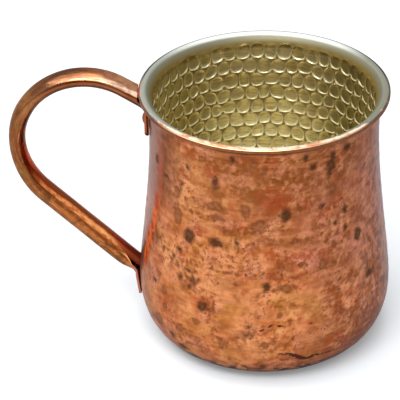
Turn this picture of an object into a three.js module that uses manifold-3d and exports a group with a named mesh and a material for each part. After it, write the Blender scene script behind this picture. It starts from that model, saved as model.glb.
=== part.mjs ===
import * as THREE from 'three';
import Module from 'manifold-3d';
import { mergeVertices } from 'three/addons/utils/BufferGeometryUtils.js';

// A lined copper mug. All sizes are in millimetres. The mug stands on z = 0 with its axis
// on z, and the handle reaches out along -X. A "seat" is a place on the wall's outer face.

// Cup outline, measured on the outer face of the copper shell
const rimHeight = 93.3;
const rimRadius = 42.0;
const neckRadius = 38.7;
const neckBelowRim = 13.0;
const bellyRadius = 43.65;
const bellyHeight = 20.5;
const baseRadius = 28.0;

// How far each curve of the outline keeps its end's direction
const baseEase = 4.1;
const bellyEaseDown = 18.5;
const bellyEaseUp = 9.5;
const neckEase = 23.0;

// Flared lip: where it starts, and how its underside eases out to the edge
const lipBelowRim = 6.6;
const lipEaseUp = 2.7;
const lipEaseOut = 2.1;

// Sheet thicknesses and the gap between pieces that lie on each other
const shellWall = 0.7;
const linerWall = 0.6;
const clearance = 0.3;

// Handle: an oval copper tube in the plane y = 0, pressed thinner round the crown
const crownThickness = 5.7;
const crownWidth = 9.0;
const armThickness = 6.6;
const armWidth = 9.8;
const tubeWall = 0.9;
const crownRadius = 23.75;
const crownAboveRim = 3.8;
const crownOutFromRim = 18.0;
const armRadius = 28.6;
const upperSlope = THREE.MathUtils.degToRad(32);
const armSeatHeight = 21.9;
const rimToTubeEnd = 0.6;

// The handle's ends, cut open and beaten flat to lie on the wall
const tabWidth = 10.0;
const tabThickness = 0.9;
const tabNeckWidth = 4.0;
const tabCorner = 0.8;
const tabBend = 1.5;
const tabOverlap = 2.0;

// Rivets: how far each seat lies below its tab's bend, the tab left below it, and the heads
const upperRivetBelowBend = 4.1;
const lowerRivetBelowBend = 3.0;
const upperTabBelowRivet = 4.0;
const lowerTabBelowRivet = 2.8;
const shankRadius = 1.4;
const headRadius = 2.1;
const upperHeadRise = 0.8;
const lowerHeadRise = 0.35;
const tailRadius = 2.1;
const tailRise = 0.5;
const linerToTail = 0.45;

// Fineness of the round forms
const turnSegments = 60;
const cornerCurveSteps = 9;
const wallCurveSteps = 6;
const lipCurveSteps = 4;
const rivetSegments = 20;
const tubeSides = 18;
const tubeSteps = 36;
const domeSteps = 4;
const bendSteps = 5;
const tabCornerSteps = 4;

// How often a search for a seat's place is repeated
const seatHalvings = 30;
const seatRounds = 20;

// Points nearer than this are one point, and cutters and bars run this far past their ends
const weld = 1e-4;
const reachPast = 10;

const wasm = await Module();
wasm.setup();

function toSolid(geometry) {
  const bare = geometry.clone();
  bare.deleteAttribute('normal');
  bare.deleteAttribute('uv');
  const merged = mergeVertices(bare, weld);
  return new wasm.Manifold(new wasm.Mesh({
    numProp: 3,
    vertProperties: new Float32Array(merged.attributes.position.array),
    triVerts: new Uint32Array(merged.index.array),
  }));
}

function toGeometry(solid) {
  const mesh = solid.getMesh();
  const geometry = new THREE.BufferGeometry();
  geometry.setAttribute('position', new THREE.BufferAttribute(mesh.vertProperties, 3));
  geometry.setIndex(new THREE.BufferAttribute(mesh.triVerts, 1));
  geometry.computeVertexNormals();
  return geometry;
}

// A solid of revolution about z from a profile of (radius, height) points
function turned(profile, segments) {
  const geometry = new THREE.LatheGeometry(profile, segments);
  geometry.rotateX(Math.PI / 2);
  return geometry;
}

// The cup's outer outline from the middle of the base to the underside of the lip's edge
const neckHeight = rimHeight - neckBelowRim;
const lipStart = rimHeight - lipBelowRim;
const wallStack = shellWall + clearance + linerWall;
const lipUnderside = rimHeight - wallStack;

function curve(ax, ay, bx, by, cx, cy, dx, dy) {
  return new THREE.CubicBezierCurve(
    new THREE.Vector2(ax, ay),
    new THREE.Vector2(bx, by),
    new THREE.Vector2(cx, cy),
    new THREE.Vector2(dx, dy),
  );
}

const cornerCurve = curve(
  baseRadius, 0,
  baseRadius + baseEase, 0,
  bellyRadius, bellyHeight - bellyEaseDown,
  bellyRadius, bellyHeight,
);
const wallCurve = curve(
  bellyRadius, bellyHeight,
  bellyRadius, bellyHeight + bellyEaseUp,
  neckRadius, neckHeight - neckEase,
  neckRadius, neckHeight,
);
const neckCurve = new THREE.LineCurve(
  new THREE.Vector2(neckRadius, neckHeight),
  new THREE.Vector2(neckRadius, lipStart),
);
const lipCurve = curve(
  neckRadius, lipStart,
  neckRadius, lipStart + lipEaseUp,
  rimRadius - lipEaseOut, lipUnderside,
  rimRadius, lipUnderside,
);

// Each part of the outline with its number of steps
const outline = [
  [cornerCurve, cornerCurveSteps],
  [wallCurve, wallCurveSteps],
  [neckCurve, 1],
  [lipCurve, lipCurveSteps],
];

// Points of the outline moved inwards by a depth, square to the outer face
function wallLine(depth) {
  const line = [new THREE.Vector2(0, depth)];
  for (const [part, steps] of outline) {
    for (let i = 0; i <= steps; i += 1) {
      const point = part.getPoint(i / steps);
      const along = part.getTangent(i / steps);
      const previous = line[line.length - 1];
      const moved = new THREE.Vector2(point.x - along.y * depth, point.y + along.x * depth);
      if (moved.distanceTo(previous) > weld) {
        line.push(moved);
      }
    }
  }
  return line;
}

// The same line without the points that crowd the lip's edge, past a radius
function shortLine(depth, radius) {
  return wallLine(depth).filter((p) => p.y < lipUnderside || p.x < radius);
}

// The outer face's point at a height, with the directions out of it and up along it
function seatAt(height) {
  const [part] = outline.find(([piece]) => piece.getPoint(1).y >= height);
  let low = 0;
  let high = 1;
  for (let i = 0; i < seatHalvings; i += 1) {
    const middle = (low + high) / 2;
    if (part.getPoint(middle).y < height) {
      low = middle;
    } else {
      high = middle;
    }
  }
  const up = part.getTangent(low);
  return { point: part.getPoint(low), up, out: new THREE.Vector2(up.y, -up.x) };
}

// Turns something made along +Z so that it stands on a seat and points out of the wall
function placeOnSeat(object, seat) {
  object.position.set(-seat.point.x, 0, seat.point.y);
  object.rotation.y = Math.atan2(-seat.out.x, seat.out.y);
}

// A round hole for a rivet, through the tab, the shell and the liner
function rivetHole(seat) {
  const outside = clearance + tabThickness + reachPast / 2;
  const inside = wallStack + reachPast / 2;
  const radius = shankRadius + clearance;
  const drill = new THREE.CylinderGeometry(radius, radius, outside + inside, rivetSegments);
  drill.rotateX(Math.PI / 2);
  drill.translate(0, 0, (outside - inside) / 2);
  const holder = new THREE.Object3D();
  placeOnSeat(holder, seat);
  holder.updateMatrix();
  return toSolid(drill.applyMatrix4(holder.matrix));
}

function drilled(solid) {
  return solid.subtract(rivetHole(upperSeat)).subtract(rivetHole(lowerSeat));
}

// Copper shell: base, belly, neck and flared lip in one sheet. Its edge is turned up
// round the liner's lip.
function outerShellGeometry() {
  const edgeInside = rimRadius - shellWall;
  const profile = [
    ...wallLine(0).slice(0, -1),
    new THREE.Vector2(rimRadius - shellWall / 2, lipUnderside),
    new THREE.Vector2(rimRadius, lipUnderside + shellWall / 2),
    new THREE.Vector2(rimRadius, rimHeight - clearance),
    new THREE.Vector2(edgeInside, rimHeight - clearance),
    new THREE.Vector2(edgeInside, lipUnderside + shellWall),
    ...shortLine(shellWall, edgeInside - shellWall / 2).reverse(),
  ];
  return toGeometry(drilled(toSolid(turned(profile, turnSegments))));
}

// Liner: a second, paler cup lying inside the shell, its lip lying on the shell's lip
function innerLinerGeometry() {
  const lipEdge = rimRadius - shellWall - clearance;
  const lineEnd = lipEdge - linerWall / 2;
  const profile = [
    ...shortLine(shellWall + clearance, lineEnd),
    new THREE.Vector2(lipEdge, lipUnderside + shellWall + clearance),
    new THREE.Vector2(lipEdge, rimHeight),
    ...shortLine(wallStack, lineEnd).reverse(),
  ];
  return toGeometry(drilled(toSolid(turned(profile, turnSegments))));
}

// An arc in the plane y = 0. Its angles are turned from the side that faces the mug,
// up over the top and on round.
class HandleArc extends THREE.Curve {
  constructor(centre, radius, from, to) {
    super();
    this.centre = centre;
    this.radius = radius;
    this.from = from;
    this.to = to;
  }

  getPoint(t, target = new THREE.Vector3()) {
    const angle = this.from + (this.to - this.from) * t;
    const out = this.centre.x - this.radius * Math.cos(angle);
    const height = this.centre.y + this.radius * Math.sin(angle);
    return target.set(-out, 0, height);
  }
}

// The handle's middle line, as distance out from the axis and height: a straight run
// down to the rim, a round crown, a slacker round and a straight arm down to the wall
const crownCentre = new THREE.Vector2(
  rimRadius + crownOutFromRim,
  rimHeight + crownAboveRim - crownRadius,
);
const armCentre = new THREE.Vector2(crownCentre.x - (armRadius - crownRadius), crownCentre.y);

// The arm is the straight line from its seat that just touches the lower round
const armSeat = seatAt(armSeatHeight).point;
const seatToCentre = armCentre.clone().sub(armSeat);
const armSlope = seatToCentre.angle() - Math.asin(armRadius / seatToCentre.length());
const crownStart = Math.PI / 2 - upperSlope;
const armEnd = Math.PI * 1.5 - armSlope;

// A point on one of the handle's rounds, given by centre, radius and angle
function onRound(centre, radius, angle) {
  return new THREE.Vector2(
    centre.x - radius * Math.cos(angle),
    centre.y + radius * Math.sin(angle),
  );
}

const upperRun = new THREE.Vector2(-Math.cos(upperSlope), -Math.sin(upperSlope));
const armRun = new THREE.Vector2(-Math.cos(armSlope), -Math.sin(armSlope));
const crownEntry = onRound(crownCentre, crownRadius, crownStart);
const armEntry = onRound(armCentre, armRadius, armEnd);
const tubeEndOut = rimRadius + rimToTubeEnd;
const toTubeEnd = (crownEntry.x - tubeEndOut) / Math.cos(upperSlope);
const tubeEnd = crownEntry.clone().addScaledVector(upperRun, toTubeEnd);

function inSpace(point) {
  return new THREE.Vector3(-point.x, 0, point.y);
}

function handleLine() {
  const upperEnd = tubeEnd.clone().addScaledVector(upperRun, reachPast);
  const lowerEnd = armSeat.clone().addScaledVector(armRun, reachPast);
  const line = new THREE.CurvePath();
  line.add(new THREE.LineCurve3(inSpace(upperEnd), inSpace(crownEntry)));
  line.add(new HandleArc(crownCentre, crownRadius, crownStart, Math.PI));
  line.add(new HandleArc(armCentre, armRadius, Math.PI, armEnd));
  line.add(new THREE.LineCurve3(inSpace(armEntry), inSpace(lowerEnd)));
  return line;
}

// A solid bar along the handle's middle line. Its oval section is a skin's depth inside
// the tube's outer face, and eases from the crown's size to the arm's along the lower round.
function ovalBar(depth) {
  const line = handleLine();
  const reached = line.getCurveLengths();
  const [easeFrom, easeTo] = [reached[1] / reached[3], reached[2] / reached[3]];
  const bar = new THREE.CylinderGeometry(1, 1, 1, tubeSides, tubeSteps);
  const corners = bar.attributes.position;
  const corner = new THREE.Vector3();
  const sideways = new THREE.Vector3(0, 1, 0);
  for (let i = 0; i < corners.count; i += 1) {
    corner.fromBufferAttribute(corners, i);
    const t = THREE.MathUtils.clamp(corner.y + 0.5, 0, 1);
    const eased = THREE.MathUtils.smoothstep(t, easeFrom, easeTo);
    const thickness = THREE.MathUtils.lerp(crownThickness, armThickness, eased) - 2 * depth;
    const width = THREE.MathUtils.lerp(crownWidth, armWidth, eased) - 2 * depth;
    const across = line.getTangent(t).cross(sideways);
    const place = line.getPoint(t).addScaledVector(across, (corner.x * thickness) / 2);
    place.addScaledVector(sideways, (corner.z * width) / 2);
    corners.setXYZ(i, place.x, place.y, place.z);
  }
  return toSolid(bar);
}

// The tube, open at both ends and sawn off upright just outside the rim
function handleTube() {
  const waste = new THREE.BoxGeometry(2 * tubeEndOut, 2 * crownWidth, 2 * crownRadius);
  waste.translate(0, 0, tubeEnd.y);
  return ovalBar(0).subtract(ovalBar(tubeWall)).subtract(toSolid(waste));
}

// The middle of a tab's sheet where it leaves the tube, flush with the tube's underside
function tabStart(tubePoint, tubeThickness, run) {
  const underside = new THREE.Vector2(-run.y, run.x);
  return tubePoint.clone().addScaledVector(underside, (tubeThickness - tabThickness) / 2);
}

// The middle of a tab's sheet where it lies on its seat
function tabOnSeat(seat) {
  return seat.point.clone().addScaledVector(seat.out, clearance + tabThickness / 2);
}

// Where a tab bends: its line from the tube meets its line down the wall
function bendPoint(seat, start, run) {
  const reach = tabOnSeat(seat).sub(start).cross(seat.up) / run.cross(seat.up);
  return start.clone().addScaledVector(run, reach);
}

// The seat that lies a set way below its own tab's bend, found in rounds from a height
function seatBelowBend(height, start, run, below) {
  let seat = seatAt(height);
  for (let i = 0; i < seatRounds; i += 1) {
    const bend = bendPoint(seat, start, run);
    const onTab = bend.addScaledVector(seat.up, -below);
    const onWall = onTab.addScaledVector(seat.out, -clearance - tabThickness / 2);
    seat = seatAt(onWall.y);
  }
  return seat;
}

const upperStart = tabStart(tubeEnd, crownThickness, upperRun);
const lowerStart = tabStart(armSeat, armThickness, armRun);
const upperSeat = seatBelowBend(neckHeight, upperStart, upperRun, upperRivetBelowBend);
const lowerSeat = seatBelowBend(armSeatHeight, lowerStart, armRun, lowerRivetBelowBend);

// A strip's side outline: its middle line widened by half its thickness to each side
function stripOutline(middle, thickness) {
  const sides = middle.map((point, i) => {
    const before = middle[Math.max(i - 1, 0)];
    const after = middle[Math.min(i + 1, middle.length - 1)];
    const along = after.clone().sub(before).normalize();
    const across = new THREE.Vector2(-along.y, along.x).multiplyScalar(thickness / 2);
    return [point.clone().add(across), point.clone().sub(across)];
  });
  const there = sides.map((pair) => pair[0]);
  const back = sides.map((pair) => pair[1]).reverse();
  return new THREE.Shape([...there, ...back].map((p) => new THREE.Vector2(-p.x, p.y)));
}

// A tab's front outline: round corners at its foot, and narrower where it joins the tube
function tabFront(foot, shoulder, narrowed, top) {
  const half = tabWidth / 2;
  const neck = tabNeckWidth / 2;
  const front = new THREE.Shape();
  front.moveTo(-half, shoulder);
  front.lineTo(-half, foot + tabCorner);
  front.absarc(-half + tabCorner, foot + tabCorner, tabCorner, Math.PI, Math.PI * 1.5);
  front.absarc(half - tabCorner, foot + tabCorner, tabCorner, Math.PI * 1.5, Math.PI * 2);
  front.lineTo(half, shoulder);
  front.lineTo(neck, narrowed);
  front.lineTo(neck, top);
  front.lineTo(-neck, top);
  front.lineTo(-neck, narrowed);
  return front;
}

// A flat end: it leaves the tube's underside, bends and runs down the wall past its rivet.
// run is the tube's way towards the mug.
function handleTab(seat, start, run, belowRivet) {
  const down = seat.up.clone().negate();
  const corner = bendPoint(seat, start, run);
  const lead = start.clone().addScaledVector(run, -tabOverlap);
  const bendIn = corner.clone().addScaledVector(run, -tabBend);
  const bendOut = corner.clone().addScaledVector(down, tabBend);
  const foot = tabOnSeat(seat).addScaledVector(down, belowRivet);
  const middle = new THREE.Path();
  middle.moveTo(lead.x, lead.y);
  middle.lineTo(bendIn.x, bendIn.y);
  middle.quadraticCurveTo(corner.x, corner.y, bendOut.x, bendOut.y);
  middle.lineTo(foot.x, foot.y);
  const strip = new THREE.ExtrudeGeometry(stripOutline(middle.getPoints(bendSteps), tabThickness), {
    depth: tabWidth,
    bevelEnabled: false,
  });
  strip.translate(0, 0, -tabWidth / 2);
  strip.rotateX(Math.PI / 2);
  const depth = crownCentre.x + crownRadius;
  const frontShape = tabFront(foot.y, corner.y, start.y, lead.y + tabWidth);
  const front = new THREE.ExtrudeGeometry(frontShape, {
    depth,
    bevelEnabled: false,
    curveSegments: tabCornerSteps,
  });
  front.translate(0, 0, -depth);
  front.rotateX(Math.PI / 2);
  front.rotateZ(Math.PI / 2);
  return toSolid(strip).intersect(toSolid(front));
}

// The room that the cup takes up, with a clearance all round
function cupRoom() {
  const profile = [
    ...wallLine(-clearance),
    new THREE.Vector2(rimRadius + clearance, lipUnderside - clearance),
    new THREE.Vector2(rimRadius + clearance, rimHeight + clearance),
    new THREE.Vector2(0, rimHeight + clearance),
  ];
  return toSolid(turned(profile, turnSegments));
}

// Handle: one bent tube, its two ends opened out into flat tabs that lie on the wall
function handleGeometry() {
  const whole = handleTube()
    .add(handleTab(upperSeat, upperStart, upperRun, upperTabBelowRivet))
    .add(handleTab(lowerSeat, lowerStart, armRun, lowerTabBelowRivet))
    .subtract(cupRoom());
  return toGeometry(drilled(whole));
}

// Points of a low dome from its edge to its middle, or the other way when it faces down
function dome(radius, level, rise) {
  const sphere = (radius * radius + rise * rise) / (2 * Math.abs(rise));
  const half = Math.asin(radius / sphere);
  const points = [];
  for (let i = 0; i <= domeSteps; i += 1) {
    const angle = half * (1 - i / domeSteps);
    const lift = sphere * (Math.cos(angle) - Math.cos(half)) * Math.sign(rise);
    points.push(new THREE.Vector2(sphere * Math.sin(angle), level + lift));
  }
  points[domeSteps].x = 0;
  return rise > 0 ? points : points.reverse();
}

// Rivet: a domed head on the tab, a shank through the walls, and a tail spread inside.
// It is made along +Z with z = 0 at the shell's outer face.
function rivetGeometry(headRise) {
  const headLevel = clearance + tabThickness + clearance;
  const tailLevel = -(wallStack + linerToTail);
  const profile = [
    ...dome(tailRadius, tailLevel, -tailRise),
    new THREE.Vector2(shankRadius, tailLevel),
    new THREE.Vector2(shankRadius, headLevel),
    ...dome(headRadius, headLevel, headRise),
  ];
  return turned(profile, rivetSegments);
}

// Finishes: planished copper, the darker copper of the rivets, and the pale tinned lining
const copper = { color: 0xb86f45, metalness: 1.0, roughness: 0.38 };
const darkCopper = { color: 0xa9623c, metalness: 1.0, roughness: 0.34 };
const tinned = { color: 0xb9b184, metalness: 1.0, roughness: 0.3 };

// The pieces, each under its own name
function named(name, geometry, look) {
  const mesh = new THREE.Mesh(geometry, new THREE.MeshStandardMaterial(look));
  mesh.name = name;
  return mesh;
}

function rivet(name, seat, headRise) {
  const mesh = named(name, rivetGeometry(headRise), darkCopper);
  placeOnSeat(mesh, seat);
  return mesh;
}

const mug = new THREE.Group();
mug.add(named('outer_shell', outerShellGeometry(), copper));
mug.add(named('inner_liner', innerLinerGeometry(), tinned));
mug.add(named('handle', handleGeometry(), copper));
mug.add(rivet('upper_rivet', upperSeat, upperHeadRise));
mug.add(rivet('lower_rivet', lowerSeat, lowerHeadRise));

export default mug;
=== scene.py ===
import math

import bpy
import numpy as np
from mathutils import Matrix, Vector


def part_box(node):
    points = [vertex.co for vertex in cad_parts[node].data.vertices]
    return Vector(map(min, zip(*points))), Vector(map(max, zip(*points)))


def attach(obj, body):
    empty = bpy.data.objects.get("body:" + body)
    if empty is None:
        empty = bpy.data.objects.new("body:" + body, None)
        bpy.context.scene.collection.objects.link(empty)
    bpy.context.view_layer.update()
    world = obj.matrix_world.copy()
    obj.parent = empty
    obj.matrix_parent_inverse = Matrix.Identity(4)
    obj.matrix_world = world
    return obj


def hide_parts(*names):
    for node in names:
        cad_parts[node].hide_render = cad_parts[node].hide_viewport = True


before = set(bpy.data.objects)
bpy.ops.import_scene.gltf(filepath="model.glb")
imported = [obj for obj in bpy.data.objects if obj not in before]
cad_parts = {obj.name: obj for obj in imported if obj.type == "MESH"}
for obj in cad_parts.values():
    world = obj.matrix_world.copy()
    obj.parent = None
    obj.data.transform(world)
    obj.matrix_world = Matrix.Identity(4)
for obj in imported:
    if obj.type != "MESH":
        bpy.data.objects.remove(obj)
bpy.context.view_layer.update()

# Outer shell. The mug's copper body: base, belly, neck and flared lip spun from one sheet and
# planished outside with a round-faced hammer. Its edge is turned up round the liner's lip, and
# the copper has grown an uneven brown bloom with dark spots and small pits.
mm = 0.001
rim_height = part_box("inner_liner")[1].z
rim_radius = 42.0 * mm
neck_radius = 38.7 * mm
belly_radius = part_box("outer_shell")[1].x
base_radius = 28.0 * mm
neck_height = rim_height - 13.0 * mm
belly_height = 20.5 * mm
lip_start = rim_height - 6.6 * mm
shell_wall = 0.7 * mm
liner_wall = 0.6 * mm
clearance = 0.3 * mm
wall_stack = shell_wall + clearance + liner_wall
lip_underside = rim_height - wall_stack
corner_pull_out = 4.1 * mm
corner_pull_down = 18.5 * mm
belly_pull_up = 9.5 * mm
neck_pull_down = 23.0 * mm
lip_pull_up = 2.7 * mm
lip_pull_in = 2.1 * mm


def bezier(a, b, c, d, steps=200):
    """Points of a cubic curve from a to d that leaves along b and comes in along c."""
    t = np.linspace(0, 1, steps)[:, None]
    return a * (1 - t) ** 3 + 3 * b * t * (1 - t) ** 2 + 3 * c * t**2 * (1 - t) + d * t**3


def cup_outline():
    """The outer face's (radius, height) points, from the middle of the base to the lip's edge."""
    knots = ((base_radius, 0), (belly_radius, belly_height), (neck_radius, neck_height))
    knots = (*knots, (neck_radius, lip_start), (rim_radius, lip_underside))
    base, belly, neck, lip, rim = (np.array(knot) for knot in knots)
    corner = bezier(base, base + (corner_pull_out, 0), belly - (0, corner_pull_down), belly)
    wall = bezier(belly, belly + (0, belly_pull_up), neck - (0, neck_pull_down), neck)
    flare = bezier(lip, lip + (0, lip_pull_up), rim - (lip_pull_in, 0), rim)
    return np.vstack([[(0, 0)], corner, wall[1:], flare])


def reach_along(line):
    """How far each point of a line lies from its start, measured along it."""
    return np.r_[0, np.cumsum(np.linalg.norm(np.diff(line, axis=0), axis=1))]


def resampled(line, spacing):
    """The same line with its points evenly apart."""
    reached = reach_along(line)
    places = np.linspace(0, reached[-1], max(2, round(reached[-1] / spacing) + 1))
    return np.c_[np.interp(places, reached, line[:, 0]), np.interp(places, reached, line[:, 1])]


def outward(line):
    """The direction out of the metal at each point of a line that runs up the outer face."""
    along = np.gradient(line, axis=0)
    along /= np.linalg.norm(along, axis=1)[:, None]
    return np.c_[along[:, 1], -along[:, 0]]


def offset_line(depth, spacing):
    """The cup's line at a depth under the outer face, evenly pointed."""
    line = resampled(cup_outline(), 0.2 * mm)
    return resampled(line - outward(line) * depth, spacing)


class FaceLine:
    """A finely pointed line up a cup's face, read by the distance along it."""

    def __init__(self, points):
        self.points = points
        self.out = outward(points)
        self.reached = reach_along(points)
        self.end = self.reached[-1]

    def at(self, place):
        """Radius and height at a place, and how far outward and upward the face looks there."""
        columns = (*self.points.T, *self.out.T)
        return [np.interp(place, self.reached, column) for column in columns]

    def radius_at(self, place):
        return self.at(place)[0]


class HammerMarks:
    """Marks of a hammer laid in rounds up a cup, each a little off its place."""

    def __init__(self, seed, rounds, line, pitch, stray):
        draw = np.random.default_rng(seed)
        self.rounds = rounds
        self.angles, self.places, self.weights = [], [], []
        for place in rounds:
            count = max(1, round(2 * math.pi * line.radius_at(place) / pitch))
            even = (np.arange(count) + draw.random()) / count
            self.angles.append(2 * math.pi * (even + draw.normal(0, stray, count) / count))
            self.places.append(place + draw.normal(0, stray, count) * pitch * strays_up)
            self.weights.append(draw.normal(1, weight_varies, count))

    def nearest(self, angles, place, radius, wide, high):
        """For points round a cup at one place up its line: how far each is from the middle of
        the nearest mark, in mark sizes, and that mark's weight."""
        best = np.full(len(angles), 9.0)
        weight = np.ones(len(angles))
        for index in np.flatnonzero(np.abs(np.array(self.rounds) - place) < 3 * high):
            step = 2 * math.pi / len(self.angles[index])
            guess = np.round((angles - self.angles[index][0]) / step).astype(int)
            for move in (-1, 0, 1):
                mark = (guess + move) % len(self.angles[index])
                turn = turn_between(angles, self.angles[index][mark])
                away = np.hypot(turn * radius / wide, (place - self.places[index][mark]) / high)
                nearer = away < best
                weight = np.where(nearer, self.weights[index][mark], weight)
                best = np.where(nearer, away, best)
        return best, weight


def turn_between(angles, other):
    """How far angles lie from another one, the short way round."""
    return (angles - other + math.pi) % (2 * math.pi) - math.pi


def given(thing, settings):
    """The same thing with its settings made."""
    for name, value in dict(settings).items():
        setattr(thing, name, value)
    return thing


def set_out(name, data):
    """A new object, put into the scene."""
    thing = bpy.data.objects.new(name, data)
    bpy.context.scene.collection.objects.link(thing)
    return thing


def new_piece(name, points, faces, fields=()):
    """A smooth piece that carries values for its finish at each point."""
    mesh = bpy.data.meshes.new(name)
    mesh.from_pydata(points, [], faces)
    for field, values in dict(fields).items():
        layer = mesh.attributes.new(field, "FLOAT", "POINT")
        layer.data.foreach_set("value", np.array(values, np.float32))
    mesh.shade_smooth()
    return set_out(name, mesh)


def skin_of_rounds(name, rounds, fields=()):
    """A closed piece from rings of points. A ring has one point, or as many as the next one,
    or half or twice as many. Each field is a list with one array for each ring."""
    faces, start = [], 0

    def add(*corners):
        faces.extend(np.array(np.broadcast_arrays(*corners)).T.tolist())

    for lower, upper in zip(rounds, rounds[1:]):
        low = start + np.arange(len(lower))
        start += len(lower)
        high = start + np.arange(len(upper))
        next_low, next_high = np.roll(low, -1), np.roll(high, -1)
        if len(low) == 1:
            add(low, next_high, high)
        elif len(high) == 1:
            add(low, next_low, high)
        elif len(low) == len(high):
            add(low, next_low, next_high, high)
        elif len(low) > len(high):
            add(low[::2], low[1::2], high)
            add(low[1::2], next_low[1::2], next_high, high)
        else:
            add(low, high[1::2], high[::2])
            add(low, next_low, next_high[1::2], high[1::2])
    joined_fields = {field: np.concatenate(values) for field, values in dict(fields).items()}
    return new_piece(name, np.vstack(rounds).tolist(), faces, joined_fields)


def ring(radius, height, angles):
    """Points round the axis, where the radius and the height may differ from point to point."""
    across, along = radius * np.cos(angles), radius * np.sin(angles)
    return np.c_[across, along, np.broadcast_to(height, angles.shape)]


def round_angles(count):
    return 2 * math.pi * np.arange(count) / count


def angles_at(radius, count, cell):
    """The even angles of a ring, the count halved as long as its cells stay small enough."""
    while count > fewest_columns and 2 * math.pi * radius / (count / 2) < cell:
        count //= 2
    return round_angles(count)


def hidden_rings(line):
    """Rings up the face of a cup that lies against the other cup."""
    for radius, height in line:
        yield ring(radius, height, angles_at(radius, hidden_columns, hidden_cell_wide))


def edge_rings(radius, height, half, turns, angles):
    """Rings round a sheet's edge, half a sheet off its middle line, at turns in degrees."""
    for turn in np.radians(turns):
        yield ring(radius + half * math.cos(turn), height + half * math.sin(turn), angles)


fewest_columns = 15
shell_columns = 480
shell_cell = 0.6 * mm
shell_cell_wide = 0.9 * mm
base_cell = 1.2 * mm
hidden_cell = 2.5 * mm
hidden_cell_wide = 1.0 * mm
hidden_columns = 120
ring_step = 0.02 * mm
base_hollow = 0.05 * mm
planish_wide = 6.0 * mm
planish_high = 3.1 * mm
planish_depth = 0.085 * mm
planish_overlap = 1.25
planish_stray = 0.16
strays_up = 0.7
weight_varies = 0.12
least_sink = 0.01 * mm
lip_smooth_below = 4.5 * mm
lip_smooth_over = 4.0 * mm

shell_line = FaceLine(offset_line(0, 0.1 * mm))
base_ends = base_radius - 1 * mm
shell_places = np.r_[
    np.arange(base_cell, base_ends, base_cell), np.arange(base_ends, shell_line.end, shell_cell)
]
planish_rounds = np.arange(0.5, shell_line.end / planish_high) * planish_high
planish = HammerMarks(11, planish_rounds, shell_line, planish_wide, planish_stray)

# The seed and number of the strewn spots of a kind, then the listed ones: degrees round from
# the front, height, half width and half height in mm.
spot_kinds = {
    "dark_spots": (41, 60, """
-38 54.7 2.1 2.6, -23 55.3 2.3 1.5, -24 77.2 1.0 1.9, -44 72.7 .9 .8, -40 79.7 .8 .6,
-15 87.1 .7 .9, -66 75 1.4 1.7, -13 56.3 .7 1.1, -44 48.1 .7 .7, -47 44.4 .6 .7,
-56 71.8 1.5 .6, 10 66.9 1.8 2, 29 67.7 .9 .8, 35 85.2 1 1.9, 34 82.1 1.4 1.7, 33 79.3 .8 1.3,
24 83.4 1.4 1, 20 87.3 .8 .9, 44 86.4 1.4 1, 50 52 1.7 2, 42 63.7 .9 1.3, 36 60 .6 .6,
42 56.9 .7 .8, -29 30.4 1.7 1.7, 1 40.9 1.3 1.3, -42 38.2 1 1.2,
-44 42.2 .6 .8, -37 42.1 1.7 .6, -34 38.2 .6 1.1, -31 39.9 .5 .5, -36 36.1 .5 .8,
-47 12.8 1 1.5, -7 25.8 .8 .6, -8 22.3 .7 .5, -6 21.8 .5 .5, -5 22.5 .5 .5, -60 30.4 1.2 .8,
57 34.7 2.2 1.1, -1 8.5 1.2 .7, -9 7.9 .9 .8, -41 9.7 1.9 .9
"""),
    "brown_spots": (42, 64, """
-23 64.5 2.1 1, -25 68.6 3.2 1.5, -5 85.8 1.4 1.5, 0 84.2 .6 1.3, -31 85 1.3 1.3,
-46 60 1.9 3.1, -9 68.5 1.5 2.4, -2 63 2.6 2.2, -19 60.2 .5 .9, -55 44.4 .9 .9, -61 45.8 1 1.3,
-47 69.1 1.2 .9, 17 69.3 .7 1.1, 35 73 1.4 1.7, 50 57.4 1.8 .9, 40 77.5 1.1 1.1, 21 56.8 1.2 .9,
15 57.2 1.2 .9, 31 54.3 .7 .9, 8 62.8 1 1.1, 35 52.4 .8 1.1, 63 72.7 1.6 1.9, 9 40.1 3.3 1.3,
-37 39.1 .8 .6, -41 18.7 2.2 1.3, -56 16.5 1.9 2.3, -31 24 1.6 1, -19 17.9 1.6 2,
-13 41.4 .5 .6, -57 33.6 .9 1.5, 18 48.3 .9 .8, 28 46.7 1.3 1.7, 14 33.4 .9 .6, 36 27 1.5 .8,
7 30.3 1.1 .9, 49 18.1 2.6 3, 58 17.4 1.6 1.5, -24 30.2 .8 .9, 62 16 3 4, 52 12 4 2.4,
-52 29.5 1.3 1.5, -51 23.7 1 1.1, 0 18.6 1.5 1.3, 31 32 .8 .7, -17 45.1 2.8 .4,
-7 45.7 3 .3, 48 85.1 1 .8, 68 73.8 1.4 1.3
"""),
    "red_spots": (43, 16, """
-27 81 1.7 1.3, 19 52.3 1.4 1.1, 4 52.5 2 1.3, 34 25.5 1 .8, 6 72.9 4.9 4.1, 2 76 2.6 1.5,
17 51 3.8 1.6, 27 50.8 2.2 1.1
"""),
    "pale_spots": (44, 14, """
-41 77 8 8, -41 67 6 5, -14 70 5 7, 19 30 6 4, -11 21 10 5, -52 44 6 6, -26 39 8 4, -38 27 5 4
"""),
    "deep_spots": (45, 18, """
17 84 11 4, -3 84 7 3, 9 60 6 5, 22 56 6 4, 49 62 5 8, 32 45 6 5, 46 12 8 4, 70 45 5 14, 36 79 6 4,
-2 66 4 8, 31 18 6 4, 8 49 4 5
"""),
}
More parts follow.
